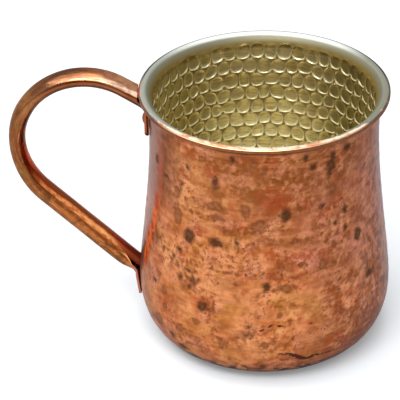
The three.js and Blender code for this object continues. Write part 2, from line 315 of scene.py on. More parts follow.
# Each crack: half its width in mm, then its points as degrees round and height.
cracks = (
    (0.12, (-1.8, 24.7), (0.8, 25.4), (3.7, 26.6), (9.6, 26.1)),
    (0.4, (6.4, 14.9), (9.8, 14.7), (13.3, 13.6)),
    (0.65, (13.3, 13.6), (16.0, 12.0), (19.3, 10.7), (22.4, 11.4)),
    (0.35, (22.4, 11.4), (31.7, 11.1)),
    (-0.05, (45.7, 33.1), (43.4, 31.9), (40.6, 30.2)),
)
unmarked = 3.0
unlisted_from = 78
strewn_heights = (4, 88)
strewn_sizes = (0.8, 1.3)
strewn_shapes = (0.6, 1.2)
spot_reach = 4 * mm
wall_rises = shell_line.points[:, 1] > 0.05 * mm


def place_at_height(height):
    return np.interp(height, shell_line.points[wall_rises, 1], shell_line.reached[wall_rises])


def spot_table(seed, extra, listed):
    """The listed spots and more like them round the rest of the mug, all sizes in metres."""
    rows = np.array([[float(value) for value in one.split()] for one in listed.split(",")])
    draw = np.random.default_rng(seed)
    turns = draw.uniform(unlisted_from, 360 - unlisted_from, extra)
    heights = draw.uniform(*strewn_heights, extra)
    sizes = draw.choice(rows[:, 2], extra) * draw.uniform(*strewn_sizes, extra)
    more = np.c_[turns, heights, sizes, sizes * draw.uniform(*strewn_shapes, extra)]
    rows = np.vstack([rows, more])
    return np.c_[np.radians(rows[:, 0] - 90), place_at_height(rows[:, 1] * mm), rows[:, 2:] * mm]


def beyond_spots(table, angles, place, radius):
    """How far each point of a ring lies outside the nearest spot, in mm. Inside is negative."""
    far = np.full(len(angles), unmarked)
    for angle, middle, wide, high in table:
        if abs(place - middle) > high + spot_reach:
            continue
        across = turn_between(angles, angle) * radius
        away = np.hypot(across / wide, (place - middle) / high) - 1
        far = np.minimum(far, away * min(wide, high) / mm)
    return far


def beyond_cracks(angles, place, radius):
    """How far each point of a ring lies outside the nearest crack, in mm."""
    far = np.full(len(angles), unmarked)
    for crack_half, *line in cracks:
        for (turn_a, height_a), (turn_b, height_b) in zip(line, line[1:]):
            a = np.array([0, place_at_height(height_a * mm)])
            b = np.array([math.radians(turn_b - turn_a) * radius, place_at_height(height_b * mm)])
            across = turn_between(angles, math.radians(turn_a - 90)) * radius
            here = np.c_[across, np.full(len(angles), place)]
            share = np.clip((here - a) @ (b - a) / ((b - a) @ (b - a)), 0, 1)
            away = np.linalg.norm(here - a - share[:, None] * (b - a), axis=1) / mm
            far = np.minimum(far, away - crack_half)
    return far


tables = {kind: spot_table(*listing) for kind, listing in spot_kinds.items()}
shell_rings = []
shell_fields = {name: [] for name in (*tables, "cracks")}


def add_shell_ring(points, angles=None, place=None):
    shell_rings.append(points)
    radius = float(np.linalg.norm(points[0, :2]))
    for name, values in shell_fields.items():
        if place is None:
            values.append(np.full(len(points), unmarked))
        elif name == "cracks":
            values.append(beyond_cracks(angles, place, radius))
        else:
            values.append(beyond_spots(tables[name], angles, place, radius))


add_shell_ring(np.array([[0, 0, base_hollow]]))
for place in shell_places:
    radius, height, out_r, out_z = shell_line.at(place)
    angles = angles_at(radius, shell_columns, shell_cell_wide)
    own, weight = planish.nearest(angles, place, radius, planish_wide / 2, planish_high / 2)
    hollow = 1 - np.clip(own / planish_overlap, 0, 1) ** 2
    at_lip = np.clip((place - shell_line.end + lip_smooth_below) / lip_smooth_over, 0, 1)
    sink = planish_depth * hollow * weight * (1 - at_lip) + least_sink
    flat = place < base_ends + 2 * mm
    rise = sink if flat else -out_z * sink
    draw_in = 0 if flat else out_r * sink
    add_shell_ring(ring(radius - draw_in, height + rise, angles), angles, place)

edge_half = shell_wall / 2
edge_top = rim_height - clearance
edge_angles = round_angles(shell_columns)
edge_bends = ((lip_underside + edge_half, (-60, -30, 0)), (edge_top - edge_half, range(0, 181, 30)))
for middle, turns in edge_bends:
    for points in edge_rings(rim_radius - edge_half, middle, edge_half, turns, edge_angles):
        add_shell_ring(points)
shell_inside = offset_line(shell_wall, hidden_cell)[::-1]
shell_inside[0, 0] = rim_radius - shell_wall
for count in (shell_columns, shell_columns // 2):
    add_shell_ring(ring(*shell_inside[0], round_angles(count)))
    shell_inside[0, 1] -= ring_step
for points in hidden_rings(shell_inside[:-1]):
    add_shell_ring(points)
add_shell_ring(np.array([[0, 0, shell_wall]]))
outer_shell = skin_of_rounds("copper_shell", shell_rings, shell_fields)


class Wire:
    """A socket of a finish. A sum on it makes the nodes that work the sum out."""

    def __init__(self, tree, socket=None):
        self.tree = tree
        self.socket = socket

    def node(self, kind, settings=(), values=(), out=0):
        """Any other node: its settings first, then its sockets' values or links."""
        made = given(self.tree.nodes.new(kind), settings)
        for name, value in dict(values).items():
            if isinstance(value, Wire):
                self.tree.links.new(value.socket, made.inputs[name])
            else:
                made.inputs[name].default_value = value
        return Wire(self.tree, made.outputs[out]) if made.outputs else None

    def sum(self, operation, first, second=0):
        return self.node("ShaderNodeMath", {"operation": operation}, {0: first, 1: second})

    def __add__(self, other):
        return self.sum("ADD", self, other)

    def __mul__(self, other):
        return self.sum("MULTIPLY", self, other)

    def __sub__(self, other):
        return self.sum("SUBTRACT", self, other)

    def __rsub__(self, other):
        return self.sum("SUBTRACT", other, self)

    def __abs__(self):
        return self.sum("ABSOLUTE", self)

    __radd__ = __add__
    __rmul__ = __mul__

    def ramp(self, low, high):
        """0 up to low, 1 from high, and an eased slope between them."""
        values = {"Value": self, "From Min": low, "From Max": high}
        return self.node("ShaderNodeMapRange", {"interpolation_type": "SMOOTHSTEP"}, values)

    def grain(self, size, detail=2, rough=0.5, out=0):
        """Cloudy grain of a size in millimetres, read at this place."""
        values = {"Vector": self, "Scale": 1 / size, "Detail": detail, "Roughness": rough}
        return self.node("ShaderNodeTexNoise", {}, values, out)

    def vector(self, operation, *values, out=0):
        return self.node("ShaderNodeVectorMath", {"operation": operation}, enumerate(values), out)

    def stretched(self, x, y, z):
        """This place with its three directions stretched."""
        return self.vector("MULTIPLY", self, (x, y, z))

    def moved(self, amount, size):
        """This place pushed about by a cloudy grain, so that edges on it run unevenly."""
        return self.vector("MULTIPLY_ADD", self.grain(size, out=1), [amount] * 3, self)

    def parts(self):
        """This place's three coordinates, or a colour's three channels."""
        return (self.node("ShaderNodeSeparateXYZ", {}, {0: self}, part) for part in "XYZ")

    def carried(self, name):
        """A value that the mesh carries at its points."""
        return self.node("ShaderNodeAttribute", {"attribute_name": name}, {}, "Fac")

    def layered(self, ground, *coats):
        """A ground colour with coats laid over it in turn. A coat is its colour and a mask that
        is 1 where it covers. Colours are red, green and blue, or a coat's may be a socket."""
        colour = dye(*ground)
        for *over, mask in coats:
            values = {0: mask, 6: colour, 7: dye(*over) if len(over) == 3 else over[0]}
            colour = self.node("ShaderNodeMix", {"data_type": "RGBA"}, values, 2)
        return colour


def dye(red, green, blue):
    """A colour as seen on a screen, from 0 to 255, as the finish needs it."""
    seen = (channel / 255 for channel in (red, green, blue))
    return (*(c / 12.92 if c <= 0.04045 else ((c + 0.055) / 1.055) ** 2.4 for c in seen), 1)


def emptied(owner):
    """The nodes of a material or a world cleared away, and a wire to lay new ones from."""
    owner.use_nodes = True
    owner.node_tree.nodes.clear()
    return Wire(owner.node_tree)


def new_finish(name):
    """An empty finish, and a point's place on the mug in millimetres to work it out from."""
    finish = bpy.data.materials.new(name)
    here = emptied(finish).node("ShaderNodeTexCoord", out="Object")
    return finish, here.stretched(1 / mm, 1 / mm, 1 / mm)


def complete(colour, metal, roughness, height, depth, lacquer=0.0, edge=(1, 1, 1, 1)):
    """Joins a finish's colour, metal share, roughness and fine relief to its shader."""
    relief = colour.node("ShaderNodeBump", {}, {"Height": height, "Distance": depth})
    values = {
        "Base Color": colour,
        "Metallic": metal,
        "Roughness": roughness,
        "Normal": relief,
        "Coat Weight": lacquer,
        "Coat Roughness": 0.2,
        "Specular Tint": edge,
        "Specular IOR Level": 0.03,
    }
    shader = colour.node("ShaderNodeBsdfPrincipled", {}, values)
    colour.node("ShaderNodeOutputMaterial", {}, {"Surface": shader})


def spots(place, spacing, least, most, share, edge):
    """Round spots of varied size strewn over a surface, about one to each square of spacing.
    least and most are radii, and share is how many of the places hold a spot."""
    values = {"Vector": place, "Scale": 1 / spacing}
    away = place.node("ShaderNodeTexVoronoi", {}, values, "Distance") * spacing
    chance, size, _ = place.node("ShaderNodeTexVoronoi", {}, values, "Color").parts()
    radius = size * (most - least) + least
    return (radius - away).ramp(-edge, edge) * chance.ramp(1 - share, 1 - share + 0.02)


copper_finish, here = new_finish("shell_copper")
side_x, side_y, up_z = here.parts()
ragged = (here.grain(1.6, 3, 0.6) - 0.5) * 4
raggedness = (0.6, 1.0, 2.6, 4.0, 4.0, 0.7)
dark, brown, red, pale, deep, crack = (
    here.carried(name) + ragged * strength for name, strength in zip(shell_fields, raggedness)
)
cloud = here.grain(16).ramp(0.38, 0.62)
golden = here.moved(3, 6).grain(9).ramp(0.44, 0.64)
reddish = here.moved(3, 7).grain(8).ramp(0.53, 0.68)
pinkish = here.moved(4, 9).grain(7).ramp(0.48, 0.66)
rows = here.stretched(0.2, 0.2, 1).moved(0.5, 3).grain(2.2, 1, 0.5)
blotch = here.moved(2.5, 5).grain(4.6)
mottle = here.moved(1.5, 3).grain(2.4)
speckle = here.moved(0.8, 1.5).grain(1.2, 1, 0.5)
fine = here.grain(0.7, 3, 0.65)
clusters = here.grain(8).ramp(0.42, 0.6)
busy = here.moved(4, 10).grain(13, 1, 0.5).ramp(0.4, 0.6) * 0.75 + 0.25
veined = abs(here.moved(1, 2).grain(2.8, 3, 0.6) - 0.5)
vein = veined.ramp(0.018, 0.004) * here.moved(5, 9).grain(7).ramp(0.5, 0.6)
pits = spots(here.moved(1.6, 1.6), 2.2, 0.12, 0.42, 0.5, 0.14) * (clusters * 0.8 + 0.2)
specks = spots(here.moved(0.7, 1.2), 1.7, 0.08, 0.3, 0.5, 0.1)
specks = specks * here.moved(2, 5).grain(6).ramp(0.46, 0.58)
spot = dark.ramp(1, -0.7)
# Painted reflection of the handle: a deep orange-red strip on the wall beside it, at a turn that
# drifts with the height.
turned = side_x.sum("ARCTAN2", side_x, side_y * -1) * 57.3
beside = turned + up_z.ramp(66, 32) * 11 + 62.2 + (here.grain(4, 3, 0.6) - 0.5) * 14
handle_reflection = beside.ramp(-4.4, -2.6) * beside.ramp(3.4, 1.4)
handle_reflection = handle_reflection * up_z.ramp(26, 34) * up_z.ramp(86, 78)
right_side = side_x.ramp(4, 16) * side_x.ramp(42, 34)
right_side = right_side * up_z.ramp(34, 48) * up_z.ramp(84, 72)
right_edge = side_x.ramp(26, 36) * up_z.ramp(12, 24) * up_z.ramp(88, 78)
low_right = side_x.ramp(16, 30) * up_z.ramp(34, 20)
dark_foot_patches = up_z.ramp(8, 6.4) * here.moved(1, 3).grain(3.6).ramp(0.46, 0.54)
rubbed_edge_highlight = up_z.ramp(92.78, 92.92)
under_lip_shade = up_z.ramp(88.6, 90.6) * (1 - rubbed_edge_highlight)
# Where the wall lies behind the tabs, for painted shade in the gaps.
shade_behind_tabs = side_x.ramp(-30, -34) * abs(side_y).ramp(6.2, 4.6)
shade_behind_tabs = shade_behind_tabs * (up_z.ramp(70, 72) + up_z.ramp(28, 26) * up_z.ramp(12.5, 14))

copper = here.layered(
    (192, 118, 72),
    (180, 100, 52, cloud),
    (176, 114, 46, golden * 0.65),
    # Darker towards the neck, most on the front left: painted shade under the lip.
    (134, 76, 34, up_z.ramp(52, 82) * 0.7),
    (116, 58, 18, up_z.ramp(50, 70) * side_x.ramp(-24, -8) * 0.55),
    (124, 72, 48, side_x.ramp(4, 28) * 0.65),
    (206, 132, 104, pinkish * 0.45),
    (188, 112, 92, right_side * (0.3 + pinkish * 0.45)),
    (216, 146, 92, pale.ramp(2.6, -4) * 0.6),
    (138, 72, 36, deep.ramp(2.6, -4) * 0.65),
    (156, 64, 26, reddish * 0.65),
    (134, 68, 28, blotch.ramp(0.5, 0.34) * 0.55),
    (222, 144, 100, blotch.ramp(0.5, 0.7) * 0.46),
    (124, 64, 28, mottle.ramp(0.5, 0.34) * busy * 0.65),
    (218, 144, 98, mottle.ramp(0.52, 0.68) * busy * 0.46),
    (104, 50, 22, speckle.ramp(0.47, 0.3) * busy * 0.68),
    (220, 148, 110, speckle.ramp(0.56, 0.74) * busy * 0.28),
    (128, 68, 32, rows.ramp(0.48, 0.34) * 0.35),
    (214, 140, 90, rows.ramp(0.54, 0.66) * 0.25),
    # Lilac-grey towards the left and right silhouettes: painted reflection of the pale room at grazing
    # angles.
    (182, 140, 124, beside.ramp(-2, -4) * side_y.ramp(12, -4) * 0.6),
    (176, 138, 124, turned.ramp(64, 78) * side_y.ramp(12, -4) * 0.55),
    # Painted reflection of the handle: deep red, with brighter orange patches lower down.
    (158, 56, 16, handle_reflection * 0.9),
    (212, 102, 46, handle_reflection * mottle.ramp(0.44, 0.56) * up_z.ramp(70, 54) * 0.8),
    # Darker on the neck's left: painted shade under the lip.
    (122, 76, 56, up_z.ramp(54, 68) * side_x.ramp(-24, -36) * 0.5),
    (150, 58, 26, red.ramp(1.2, -1.2) * 0.6),
    (108, 54, 24, brown.ramp(0.8, -0.4) * 0.75),
    (160, 102, 66, brown.ramp(-0.3, -1.1) * 0.45),
    (98, 48, 24, vein * 0.8),
    # Darker on the neck's front left: painted shade under the lip.
    (104, 54, 22, up_z.ramp(60, 76) * side_x.ramp(-24, -8) * 0.2),
    (96, 58, 38, side_x.ramp(8, 24) * up_z.ramp(34, 50) * 0.16),
    # Near the right silhouette: paler lilac blotches, a painted reflection as at the other silhouette,
    # then dark mottling.
    (174, 118, 94, right_edge * blotch.ramp(0.44, 0.56) * 0.38),
    (86, 56, 46, right_edge * mottle.ramp(0.5, 0.38) * 0.5),
    (112, 70, 36, up_z.ramp(26, 12) * 0.15),
    (84, 42, 18, pits * 0.8),
    (94, 44, 20, specks * 0.7),
    (66, 34, 14, spot * 0.92),
    (106, 70, 42, dark.ramp(-0.4, -1.5) * mottle.ramp(0.4, 0.54) * 0.6),
    (50, 26, 14, crack.ramp(0.3, -0.2) * 0.9),
    (112, 56, 44, low_right * speckle.ramp(0.56, 0.42) * 0.55),
    # Dark broken patches low on the foot.
    (44, 28, 18, dark_foot_patches * 0.9),
    # Painted shade under the lip's overhang.
    (118, 68, 36, under_lip_shade * 0.7),
    # The turned edge: rubbed copper, painted as a bright highlight at the front, pinker at the sides
    # and as a grey painted reflection at the back.
    (246, 200, 164, rubbed_edge_highlight),
    (170, 130, 112, rubbed_edge_highlight * side_y.ramp(-34, -22)),
    (122, 120, 110, rubbed_edge_highlight * side_y.ramp(-8, 16)),
    # Darker along the bottom edge: painted shade where the mug meets the table.
    (76, 52, 36, up_z.ramp(4.2, 2.6) * 0.7),
    # Painted shade on the wall in the gaps behind the tabs, also made dull.
    (150, 54, 24, shade_behind_tabs * 0.85),
)
metal = 1 - spot * 0.9 - pits * 0.6 - specks * 0.5 - handle_reflection * 0.85 - shade_behind_tabs * 0.95
roughness = 0.3 + mottle * 0.12 + spot * 0.25 + pits * 0.15 + shade_behind_tabs * 0.5
relief = mottle * 0.5 + fine * 0.3 + rows * 0.4 - pits * 0.8 - spot * 0.8 - crack.ramp(0.1, -0.2)
complete(copper, metal, roughness, relief, 0.07 * mm, 0.05, (0.6, 0.58, 0.6, 1))
outer_shell.data.materials.append(copper_finish)
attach(outer_shell, "root")
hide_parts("outer_shell")

# Liner. A second, paler cup of thin sheet that lies inside the shell. It is hammered inside
# with close rounds of flat-bottomed hollows, and only its flared lip is left smooth.
hollows_round = 48
cells_across = 10
hollow_rise = 5.45 * mm
# A hollow's section, from its middle out: a dished floor, a steep wall that ends in a raised
# ridge, and the slack metal between the ridges.
section_reach = (0, 0.5, 0.84, 0.92, 1.0, 1.12, 1.4)
section_depth = np.array([0.38, 0.36, 0.33, 0.1386, -0.05, 0.05, 0.1]) * mm
edge_gap = 0.32 * mm
row_gap = 0.12 * mm
ring_shares = np.array([0, 0.46, 0.84, 0.92, 1.0, 1.0])
squareness = 2.35
first_hollow_below_rim = 6.1 * mm
quilt_ends_at = 11.0 * mm
drift_starts_over = 4 * mm
drifts_round = 0.26 * mm
drifts_up = 0.3 * mm
wide_varies = 0.028
high_varies = 0.022
deep_varies = 0.14
joined_share = 0.06
joined_depth_at = 0.72
off_hollows = 1.5
floor_cell = 0.6 * mm
floor_cell_wide = 1.1 * mm
floor_hollow_wide = 4.7 * mm
floor_hollow_high = 5.0 * mm
floor_rise = hollow_rise * 0.94
floor_stray = 0.07
lip_cell = 0.55 * mm
lip_from = rim_height - 5.8 * mm
lip_inside_rim = 1.3 * mm
lip_foot_pull = (0, 3.4 * mm)
lip_top_pull = (2.4 * mm, 0.35 * mm)
lip_under_edge = 0.2 * mm

straight_line = offset_line(wall_stack, 0.1 * mm)
straight_line = straight_line[straight_line[:, 1] < lip_from]
lip_foot = straight_line[-1]
lip_top = np.array([rim_radius - lip_inside_rim, rim_height])
lip_curve = bezier(lip_foot, lip_foot + lip_foot_pull, lip_top - lip_top_pull, lip_top)
liner_line = FaceLine(resampled(np.vstack([straight_line, lip_curve[1:]]), 0.1 * mm))
quilted = liner_line.points[:, 1] > quilt_ends_at
quilt_heights = liner_line.points[quilted, 1]
quilt_reached = liner_line.reached[quilted]
top_hollow = np.interp(rim_height - first_hollow_below_rim, quilt_heights, quilt_reached)
quilt_rows = int((top_hollow - quilt_reached[0]) / hollow_rise)
quilt_columns = hollows_round * cells_across


def liner_ring(places, angles, sinks):
    """Points on the liner's inner face at places up its line, sunk into the metal."""
    radius, height, out_r, out_z = liner_line.at(places)
    return ring(radius + out_r * sinks, height + out_z * sinks, angles)


def hollow_depth(own):
    """How deep the metal lies at a distance from a hollow's middle."""
    return np.interp(own, section_reach, section_depth)


class Drift:
    """A smooth random wandering over the liner's wall."""

    def __init__(self, seed, amount):
        draw = np.random.default_rng(seed)
        self.amount = amount
        self.turns = draw.integers(5, 21, 14)
        self.climbs = draw.uniform(-0.5, 0.5, 14) / mm
        self.starts = draw.uniform(0, 2 * math.pi, 14)

    def at(self, angles, places):
        waves = (
            np.sin(turns * angles + climb * places + start)
            for turns, climb, start in zip(self.turns, self.climbs, self.starts)
        )
        return self.amount * sum(waves) / math.sqrt(len(self.turns) / 2)


draw = np.random.default_rng(8)
drift_round = Drift(31, drifts_round)
drift_up = Drift(32, drifts_up)
per_hollow = (quilt_rows, hollows_round)
wide_by = draw.normal(1.0, wide_varies, per_hollow)
high_by = draw.normal(1.0, high_varies, per_hollow)
deep_by = draw.normal(1.0, deep_varies, per_hollow)
lean_round = draw.normal(0, wide_varies, per_hollow)
lean_up = draw.normal(0, high_varies, per_hollow)
tones = draw.random(per_hollow)
joined = draw.random(per_hollow) < joined_share

liner_rings = []
liner_fields = {"from_middle": [], "tone": [], "climb": []}


def add_liner_ring(points, own, tone=0.5, climb=0.0):
    liner_rings.append(points)
    for values, value in zip(liner_fields.values(), (own, tone, climb)):
        values.append(np.broadcast_to(value, len(points)))


lip_half = liner_wall / 2
liner_edge = rim_radius - shell_wall + lip_under_edge
lip_angles = round_angles(quilt_columns)
outside_line = offset_line(shell_wall + clearance, hidden_cell)
within_lip = outside_line[:, 0] < liner_edge - lip_half
outside_line = outside_line[within_lip | (outside_line[:, 1] < belly_height)]
add_liner_ring(np.array([[0, 0, shell_wall + clearance]]), 0.0)
for points in hidden_rings(outside_line[1:]):
    add_liner_ring(points, off_hollows)
for count in (quilt_columns // 2, quilt_columns):
    outside_line[-1] += (lip_under_edge, ring_step)
    add_liner_ring(ring(*outside_line[-1], round_angles(count)), off_hollows)
lip_round = (liner_edge - lip_half, rim_height - lip_half, lip_half, range(-90, 91, 30))
for points in edge_rings(*lip_round, lip_angles):
    add_liner_ring(points, off_hollows)
for place in np.arange(liner_line.end, top_hollow + hollow_rise / 2 + 0.3 * mm, -lip_cell):
    add_liner_ring(liner_ring(place, lip_angles, 0.0), off_hollows)


def squared(across, upward, power):
    """How far a point is from the middle of a hollow whose outline is a squared round."""
    return (np.abs(across) ** squareness + np.abs(upward) ** squareness) ** power


half = cells_across // 2
columns = np.arange(quilt_columns)
for row in range(quilt_rows):
    middle = top_hollow - row * hollow_rise
    shift = half * (row % 2)
    local = (columns + shift) % cells_across - half
    index = (columns + shift) // cells_across % hollows_round
    radius = liner_line.radius_at(middle)
    pitch = 2 * math.pi * radius / hollows_round
    wide = (pitch - edge_gap) / 2 * wide_by[row, index]
    high = (hollow_rise - row_gap) / 2 * high_by[row, index]
    middles = 2 * math.pi * (columns - local) / quilt_columns
    for step in range(half, -half, -1):
        rank = np.maximum(np.abs(local), abs(step))
        upright = np.abs(local) < abs(step)
        lean = math.pi / 4 * np.where(upright, local, step) / np.maximum(rank, 1)
        far, near = np.cos(lean), np.sin(lean)
        aside = np.where(upright, near, np.where(local < 0, -far, far))
        above = np.where(upright, -far if step < 0 else far, near)
        out_to = ring_shares[rank] * squared(aside, above, -1 / squareness)
        border = rank == half
        across = np.where(border, pitch / 2 * local / half, wide * out_to * aside)
        upward = np.where(border, hollow_rise / 2 * step / half, high * out_to * above)
        own = squared(across / wide, upward / high, 1 / squareness)
        right = joined[row, index] & (local >= half - 1)
        left = joined[row, (index - 1) % hollows_round] & (local <= 1 - half)
        own = np.where((right | left) & (abs(step) < half - 2), joined_depth_at, own)
        leaning = lean_round[row, index] * across + lean_up[row, index] * upward
        sink = hollow_depth(own) * np.where(own < 0.9, deep_by[row, index], 1)
        sink = sink + np.where(own < 0.95, leaning, 0)
        angles = middles + across / radius
        places = middle + upward
        fade = np.clip((places - quilt_reached[0]) / drift_starts_over, 0, 1)
        places = places + fade * drift_up.at(angles, places)
        angles = angles + fade * drift_round.at(angles, places) / radius
        add_liner_ring(liner_ring(places, angles, sink), own, tones[row, index], upward / high)

quilt_end = top_hollow - (quilt_rows - 0.5) * hollow_rise
floor_rounds = np.arange(quilt_end - hollow_rise / 2, 0, -floor_rise)
floor_hollows = HammerMarks(5, floor_rounds, liner_line, floor_hollow_high, floor_stray)
for place in np.arange(quilt_end, 0, -floor_cell):
    radius = liner_line.radius_at(place)
    angles = angles_at(radius, quilt_columns, floor_cell_wide)
    own, weight = floor_hollows.nearest(
        angles, place, radius, floor_hollow_wide / 2, floor_hollow_high / 2
    )
    sink = hollow_depth(own) * weight * np.clip((quilt_end - place) / floor_cell, 0, 1)
    add_liner_ring(liner_ring(place, angles, sink), own)
add_liner_ring(np.array([[0, 0, wall_stack]]), 0.0)
inner_liner = skin_of_rounds("dimpled_liner", liner_rings, liner_fields)

liner_finish, here = new_finish("liner_tinned")
own, tone, climb = (here.carried(name) for name in liner_fields)
side_x, side_y, up_z = here.parts()
from_axis = here.vector("LENGTH", here.stretched(1, 1, 0), out="Value")
fine = here.grain(0.5, 3, 0.6)
brushed = here.stretched(0.3, 0.3, 3.4).grain(1.4, 2, 0.6)
tarnish = here.grain(12, 4, 0.6).ramp(0.4, 0.7)
groove = own.ramp(1, 1.07)
ridge_highlight = own.ramp(0.91, 0.97) * own.ramp(1.05, 1)
lit_crescent = own.ramp(0.86, 0.93) * own.ramp(1.05, 0.99) * climb.ramp(0, -0.75)
side = abs(side_x)
# Low in the middle of the inside the metal share drops, so that it shows brighter: a painted pool of
# light.
glow = up_z.ramp(78, 54) * side.ramp(34, 8)
at_lip = up_z.ramp(88, 89.6)
pale_from = from_axis + side_y.ramp(10, 34) * 0.35
pale_lip_sheen = (pale_from + fine * 0.3 - 0.15).ramp(39, 40.2) * at_lip
lit_edge_width = side_y.ramp(-20, -41) * 2.6 + 0.2
worn_lit_lip_edge = from_axis + (here.grain(4, 3, 0.6) - 0.5) * 4 + fine * 0.5 - 42.2 + lit_edge_width
worn_lit_lip_edge = worn_lit_lip_edge.ramp(-0.3, 0.3) * pale_lip_sheen * side_y.ramp(6, -12)
polish_and_glints = here.moved(2, 4).grain(5).ramp(0.4, 0.56)
copper_edge = here.layered((222, 156, 116), (252, 226, 200, polish_and_glints))
back_line = from_axis.ramp(40.8, 41.1) * at_lip * side_y.ramp(-4, 12)
gold = here.layered(
    (252, 240, 180),
    (242, 226, 152, tarnish),
    (244, 232, 200, up_z.ramp(62, 84) * 0.8),
    (226, 210, 142, tone.ramp(0.35, 1) * 0.5),
    # Darker towards the sides of the inside, most on the right: painted shade.
    (160, 146, 92, side.ramp(12, 34) * 0.75),
    (124, 112, 68, side_x.ramp(16, 36) * 0.7),
    (180, 162, 100, brushed.ramp(0.48, 0.62) * 0.6),
    (126, 98, 34, groove * 0.85),
    # Paler along each hollow's raised ridge: painted highlight.
    (255, 244, 196, ridge_highlight * 0.8),
    # Painted highlight on the lower wall of each hollow, as if lit from above.
    (255, 246, 196, lit_crescent),
    # The flare is painted dull olive, then grey-green on its steeper part: painted shade. Its flat top
    # is painted pale silver, a painted reflection of the sky on the same metal, greyer on the right
    # and near white at the back.
    (146, 124, 68, at_lip * 0.9),
    (128, 126, 106, pale_from.ramp(37.6, 38.8) * at_lip),
    (166, 168, 156, pale_lip_sheen),
    (140, 140, 124, pale_lip_sheen * side_x.ramp(0, 26)),
    (226, 228, 222, pale_lip_sheen * side_y.ramp(18, 36)),
    # Worn copper at the lip's edge, painted wider and brighter at the front as a highlight, with
    # near-white glints.
    (copper_edge, worn_lit_lip_edge),
    (52, 52, 50, back_line),
)
metal = 0.92 - back_line * 0.6 - groove * 0.35 - lit_crescent * 0.35 - glow * 0.45
roughness = 0.27 + groove * 0.2 + fine * 0.1 - ridge_highlight * 0.1
complete(gold, metal, roughness, fine * 0.2 + brushed * 0.5, 0.05 * mm)
inner_liner.data.materials.append(liner_finish)
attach(inner_liner, "root")
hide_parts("inner_liner")

# Handle. One oval copper tube bent to an ear. At each end the half of the tube that lies
# lower runs on, is beaten flat and lies on the wall as a tab, and the other half is sawn off.
crown_thickness = 5.7 * mm
crown_width = 9.0 * mm
arm_thickness = 6.6 * mm
arm_width = 9.8 * mm
tube_wall = 0.9 * mm
crown_radius = 23.75 * mm
crown_out = 18.0 * mm
crown_above_rim = 3.8 * mm
arm_radius = 28.6 * mm
upper_slope = math.radians(32)
arm_seat_height = 21.9 * mm
tab_half_width = 5.0 * mm
tab_bend = 0.9 * mm
upper_rivet_below_bend = 4.1 * mm
lower_rivet_below_bend = 3.0 * mm
upper_tab_below_rivet = 4.0 * mm
lower_tab_below_rivet = 2.8 * mm
tube_end_out = rim_radius + 0.3 * mm
half_columns = 22
row_spacing = 0.8 * mm
tab_row_spacing = 0.45 * mm
dents_along = 24
dent_share = 0.02
split_before_wall = 8.4 * mm
split_climb = math.radians(36)
split_climbs_over = 8 * mm
upper_tab_gap = 0.55 * mm
lower_tab_gap = 0.06 * mm
lower_bend_raised = 3.1 * mm
turn_in_share = 0.38
curve_pull = 0.67
flat_past_bend = 0.5 * mm
hugs_over = 1.0 * mm
hug_gap = 0.04 * mm
tab_thinned = 0.9
foot_round = 0.9 * mm
foot_narrows = 0.8 * mm
back_leaf_gap = 0.27 * mm
back_leaf_length = 6.6 * mm
back_leaf_wider = 0.19
back_leaf_thinned = 0.42
fold_drop = 0.35 * mm
cut_gap = 0.25 * mm
cut_steps = 13
edge_round = 0.14 * mm
sharp_angle = math.radians(50)
outer_tab_eases = 18
inner_tab_eases = 8
furthest_to_wall = 14 * mm

cup_wall = resampled(cup_outline(), 0.1 * mm)
above_base = cup_wall[:, 1] > 1 * mm
wall_radii, wall_heights = cup_wall[above_base].T
wall_out = outward(cup_wall)[above_base]


def quarter_left(direction):
    return np.array([-direction[1], direction[0]])


def wall_radius(height):
    return np.interp(height, wall_heights, wall_radii)


def seat_at(height):
    """The wall's outer point at a height, and the directions up along it and out of it."""
    out = np.array([np.interp(height, wall_heights, part) for part in wall_out.T])
    out /= np.linalg.norm(out)
    return np.array([wall_radius(height), height]), quarter_left(out), out


def crossing(start, run, point, along):
    """Where the line from start along run meets the line through point."""
    to_point = point - start
    apart = to_point[0] * along[1] - to_point[1] * along[0]
    return start + run * (apart / (run[0] * along[1] - run[1] * along[0]))


def seat_below_bend(height, start, run, below):
    """The seat that lies a set way below its tab's bend, and the bend."""
    lift = clearance + tube_wall / 2
    for _ in range(20):
        point, up, out = seat_at(height)
        bend = crossing(start, run, point + out * lift, up)
        height = (bend - up * below - out * lift)[1]
    return seat_at(height), bend


def on_round(centre, radius, angle):
    return centre + radius * np.array([-math.cos(angle), math.sin(angle)])


crown_centre = np.array([rim_radius + crown_out, rim_height + crown_above_rim - crown_radius])
arm_centre = crown_centre - np.array([arm_radius - crown_radius, 0])
arm_seat = seat_at(arm_seat_height)[0]
to_centre = arm_centre - arm_seat
arm_slope = math.atan2(to_centre[1], to_centre[0])
arm_slope -= math.asin(arm_radius / np.linalg.norm(to_centre))
upper_run = np.array([-math.cos(upper_slope), -math.sin(upper_slope)])
arm_run = np.array([-math.cos(arm_slope), -math.sin(arm_slope)])
crown_start = math.pi / 2 - upper_slope
arm_end = 1.5 * math.pi - arm_slope
crown_entry = on_round(crown_centre, crown_radius, crown_start)
arm_entry = on_round(arm_centre, arm_radius, arm_end)
tube_end = crown_entry + upper_run * (crown_entry[0] - tube_end_out) / math.cos(upper_slope)
bends = (
    (crown_centre, crown_radius, crown_start, math.pi),
    (arm_centre, arm_radius, math.pi, arm_end),
)


def evenly(length):
    """Places along a stretch of tube, its end left to the next stretch."""
    return np.linspace(0, length, max(1, round(length / row_spacing)), endpoint=False)


